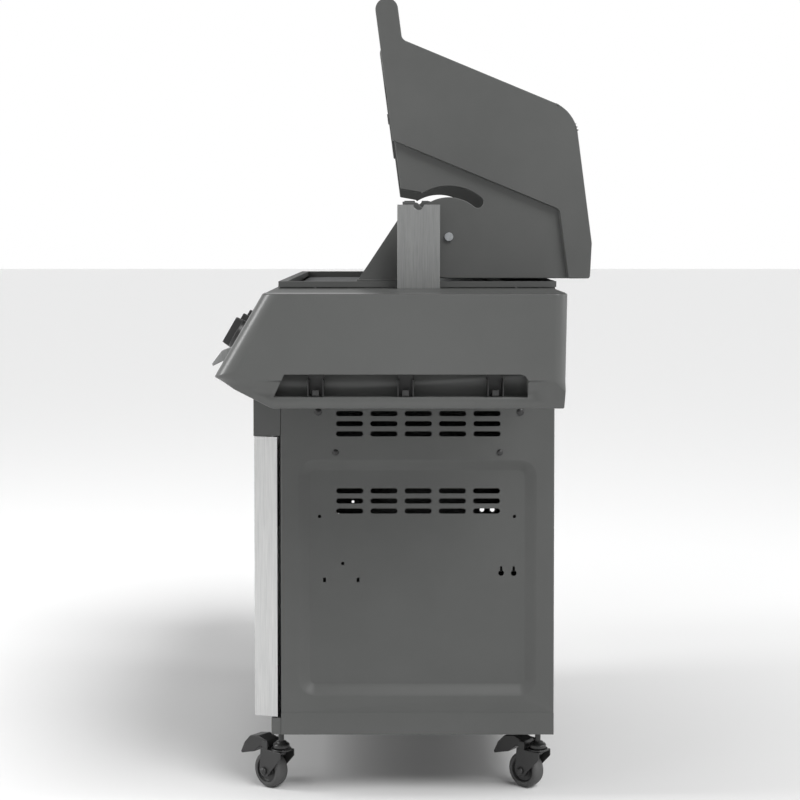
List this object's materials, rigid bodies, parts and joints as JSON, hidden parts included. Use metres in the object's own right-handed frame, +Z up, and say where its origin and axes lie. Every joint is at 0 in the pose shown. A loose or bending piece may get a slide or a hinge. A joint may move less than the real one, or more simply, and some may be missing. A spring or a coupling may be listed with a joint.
{
  "type": "gas barbecue grill",
  "caption": "Freestanding gas barbecue on casters, its lid open, with folded side shelves, tool hooks, a louvred cabinet with steel doors and a rear-sliding grease tray.",
  "frame": {"origin": "on the floor under the middle of the grill's bounding box, with the lid open", "axes": "+Z up, -Y towards the cook at the front, +X to the cook's right as they face the grill"},
  "size_m": [1.24, 0.6541, 1.3939],
  "materials": {
    "graphite_paint": "satin powder coat",
    "cast_aluminium": "painted casting, fine texture",
    "stainless": "brushed",
    "chrome": "bright plated",
    "grid_iron": "enamelled",
    "zinc_steel": "zinc plated",
    "valve_brass": "machined",
    "pipe_metal": "matt",
    "grey_moulding": "fine grain",
    "black_plastic": "fine grain",
    "caster_black": "satin",
    "rubber": "matt"
  },
  "bodies": {
    "root": {"side_panel_right": "graphite_paint", "side_panel_left": "graphite_paint", "rear_panel": "graphite_paint", "base_shelf": "graphite_paint", "front_lower_rail": "graphite_paint", "door_header": "graphite_paint", "firebox": "graphite_paint", "hinge_ears": "graphite_paint", "control_panel": "graphite_paint", "side_shelf_right": "graphite_paint", "side_shelf_left": "graphite_paint", "shelf_arms": "graphite_paint", "tray_runners": "graphite_paint", "burner_tubes": "stainless", "flame_tamers": "stainless", "warming_rack": "stainless", "spit_brackets": "stainless", "bottle_opener": "stainless", "tool_hooks": "chrome", "knob_bezels": "chrome", "cooking_grid_right": "grid_iron", "cooking_grid_left": "grid_iron", "hinge_pins": "zinc_steel", "panel_fasteners": "zinc_steel", "caster_stems": "zinc_steel", "gas_valves": "valve_brass", "manifold": "pipe_metal", "shelf_end_cap_right": "grey_moulding", "shelf_end_cap_left": "grey_moulding"},
    "lid": {"lid_end_right": "cast_aluminium", "lid_end_left": "cast_aluminium", "lid_skin": "graphite_paint", "lid_handle": "stainless", "lid_thermometer": "stainless", "lid_bumpers": "rubber"},
    "door_right": {"door_right": "stainless", "door_pull_right": "black_plastic"},
    "door_left": {"door_left": "stainless", "door_pull_left": "black_plastic"},
    "grease_tray": {"grease_tray": "stainless"},
    "valve_stem_1": {"valve_stem_1": "valve_brass"},
    "knob_1": {"knob_1": "black_plastic"},
    "caster_fork_1": {"caster_fork_1": "caster_black"},
    "caster_wheel_1": {"caster_wheel_1": "rubber"},
    "brake_pedal_1": {"brake_pedal_1": "black_plastic"},
    "valve_stem_2": {"valve_stem_2": "valve_brass"},
    "knob_2": {"knob_2": "black_plastic"},
    "caster_fork_2": {"caster_fork_2": "caster_black"},
    "caster_wheel_2": {"caster_wheel_2": "rubber"},
    "brake_pedal_2": {"brake_pedal_2": "black_plastic"},
    "valve_stem_3": {"valve_stem_3": "valve_brass"},
    "knob_3": {"knob_3": "black_plastic"},
    "caster_fork_3": {"caster_fork_3": "caster_black"},
    "caster_wheel_3": {"caster_wheel_3": "rubber"},
    "brake_pedal_3": {"brake_pedal_3": "black_plastic"},
    "valve_stem_4": {"valve_stem_4": "valve_brass"},
    "knob_4": {"knob_4": "black_plastic"},
    "caster_fork_4": {"caster_fork_4": "caster_black"},
    "caster_wheel_4": {"caster_wheel_4": "rubber"},
    "brake_pedal_4": {"brake_pedal_4": "black_plastic"}
  },
  "joints": [
    {"name": "lid_hinge", "type": "hinge", "parent": "root", "child": "lid", "pos_m": [0, 0.0805, 0.984], "axis": [1, 0, 0], "range_deg": [0, 82.5]},
    {"name": "door_right_hinge", "type": "hinge", "parent": "root", "child": "door_right", "pos_m": [0.334, -0.2265, 0.39], "axis": [0, 0, 1], "range_deg": [0, 110]},
    {"name": "door_left_hinge", "type": "hinge", "parent": "root", "child": "door_left", "pos_m": [-0.334, -0.2265, 0.39], "axis": [0, 0, -1], "range_deg": [0, 110]},
    {"name": "grease_tray_slide", "type": "slide", "parent": "root", "child": "grease_tray", "axis": [0, 1, 0], "range_m": [0, 0.3]},
    {"name": "valve_press_1", "type": "slide", "parent": "root", "child": "valve_stem_1", "axis": [0, 0.866, -0.5], "range_m": [0, 0.004], "stiffness_N_per_m": 800, "springref_m": -0.002},
    {"name": "knob_turn_1", "type": "hinge", "parent": "valve_stem_1", "child": "knob_1", "pos_m": [0.21, -0.2785, 0.79454], "axis": [0, -0.866, 0.5], "range_deg": [0, 130]},
    {"name": "valve_press_2", "type": "slide", "parent": "root", "child": "valve_stem_2", "axis": [0, 0.866, -0.5], "range_m": [0, 0.004], "stiffness_N_per_m": 800, "springref_m": -0.002},
    {"name": "knob_turn_2", "type": "hinge", "parent": "valve_stem_2", "child": "knob_2", "pos_m": [0.07, -0.2785, 0.79454], "axis": [0, -0.866, 0.5], "range_deg": [0, 130]},
    {"name": "valve_press_3", "type": "slide", "parent": "root", "child": "valve_stem_3", "axis": [0, 0.866, -0.5], "range_m": [0, 0.004], "stiffness_N_per_m": 800, "springref_m": -0.002},
    {"name": "knob_turn_3", "type": "hinge", "parent": "valve_stem_3", "child": "knob_3", "pos_m": [-0.07, -0.2785, 0.79454], "axis": [0, -0.866, 0.5], "range_deg": [0, 130]},
    {"name": "valve_press_4", "type": "slide", "parent": "root", "child": "valve_stem_4", "axis": [0, 0.866, -0.5], "range_m": [0, 0.004], "stiffness_N_per_m": 800, "springref_m": -0.002},
    {"name": "knob_turn_4", "type": "hinge", "parent": "valve_stem_4", "child": "knob_4", "pos_m": [-0.21, -0.2785, 0.79454], "axis": [0, -0.866, 0.5], "range_deg": [0, 130]},
    {"name": "caster_swivel_1", "type": "hinge", "parent": "root", "child": "caster_fork_1", "pos_m": [0.3, -0.2155, 0.08], "axis": [0, 0, 1], "continuous": true},
    {"name": "wheel_spin_1", "type": "hinge", "parent": "caster_fork_1", "child": "caster_wheel_1", "pos_m": [0.28393, -0.23465, 0.0315], "axis": [0.766, -0.6428, 0], "continuous": true},
    {"name": "brake_press_1", "type": "hinge", "parent": "caster_fork_1", "child": "brake_pedal_1", "pos_m": [0.28457, -0.23389, 0.079], "axis": [0.766, -0.6428, 0], "range_deg": [0, 5]},
    {"name": "caster_swivel_2", "type": "hinge", "parent": "root", "child": "caster_fork_2", "pos_m": [-0.3, -0.2155, 0.08], "axis": [0, 0, 1], "continuous": true},
    {"name": "wheel_spin_2", "type": "hinge", "parent": "caster_fork_2", "child": "caster_wheel_2", "pos_m": [-0.31607, -0.23465, 0.0315], "axis": [0.766, -0.6428, 0], "continuous": true},
    {"name": "brake_press_2", "type": "hinge", "parent": "caster_fork_2", "child": "brake_pedal_2", "pos_m": [-0.31543, -0.23389, 0.079], "axis": [0.766, -0.6428, 0], "range_deg": [0, 5]},
    {"name": "caster_swivel_3", "type": "hinge", "parent": "root", "child": "caster_fork_3", "pos_m": [0.3, 0.2415, 0.08], "axis": [0, 0, 1], "continuous": true},
    {"name": "wheel_spin_3", "type": "hinge", "parent": "caster_fork_3", "child": "caster_wheel_3", "pos_m": [0.28393, 0.22235, 0.0315], "axis": [0.766, -0.6428, 0], "continuous": true},
    {"name": "brake_press_3", "type": "hinge", "parent": "caster_fork_3", "child": "brake_pedal_3", "pos_m": [0.28457, 0.22312, 0.079], "axis": [0.766, -0.6428, 0], "range_deg": [0, 5]},
    {"name": "caster_swivel_4", "type": "hinge", "parent": "root", "child": "caster_fork_4", "pos_m": [-0.3, 0.2415, 0.08], "axis": [0, 0, 1], "continuous": true},
    {"name": "wheel_spin_4", "type": "hinge", "parent": "caster_fork_4", "child": "caster_wheel_4", "pos_m": [-0.31607, 0.22235, 0.0315], "axis": [0.766, -0.6428, 0], "continuous": true},
    {"name": "brake_press_4", "type": "hinge", "parent": "caster_fork_4", "child": "brake_pedal_4", "pos_m": [-0.31543, 0.22312, 0.079], "axis": [0.766, -0.6428, 0], "range_deg": [0, 5]}
  ]
}
